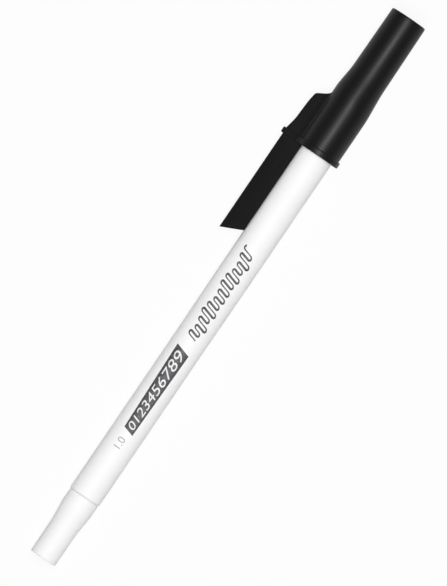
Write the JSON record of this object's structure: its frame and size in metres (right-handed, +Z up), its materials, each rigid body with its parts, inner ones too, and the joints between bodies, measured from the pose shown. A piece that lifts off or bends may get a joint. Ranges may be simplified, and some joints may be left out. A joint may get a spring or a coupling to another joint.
{
  "type": "stick ballpoint pen",
  "caption": "Capped stick ballpoint pen: round barrel with a pressed-in end plug, pull-off cap with a pocket clip, and a refill whose ball turns in a metal point.",
  "frame": {"origin": "centre of the end plug's flat rear face, on the pen's axis", "axes": "+X along the pen's axis from the end plug to the cap's top; +Z up with the pen lying on the cap's lip; the clip is on the +Y side and leans down towards the table"},
  "size_m": [0.1483, 0.0153, 0.0112],
  "materials": {
    "white_barrel": "gloss moulded",
    "black_cap": "satin moulded",
    "black_holder": "satin moulded",
    "point_metal": "turned nickel silver",
    "ball_carbide": "lapped carbide",
    "tube_clear": "extruded, milky clear",
    "ink_black": "wet paste"
  },
  "bodies": {
    "pen": {"barrel": "white_barrel", "end_plug": "white_barrel", "tip_holder": "black_holder", "writing_point": "point_metal", "ink_tube": "tube_clear", "ink_column": "ink_black"},
    "cap": {"cap": "black_cap"},
    "ball": {"writing_ball": "ball_carbide"}
  },
  "joints": [
    {"name": "cap_pull", "type": "slide", "parent": "pen", "child": "cap", "axis": [1, 0, 0], "range_m": [0, 0.065]},
    {"name": "ball_roll", "type": "hinge", "parent": "pen", "child": "ball", "pos_m": [0.14073, 0, 0], "axis": [0, 1, 0], "continuous": true}
  ]
}
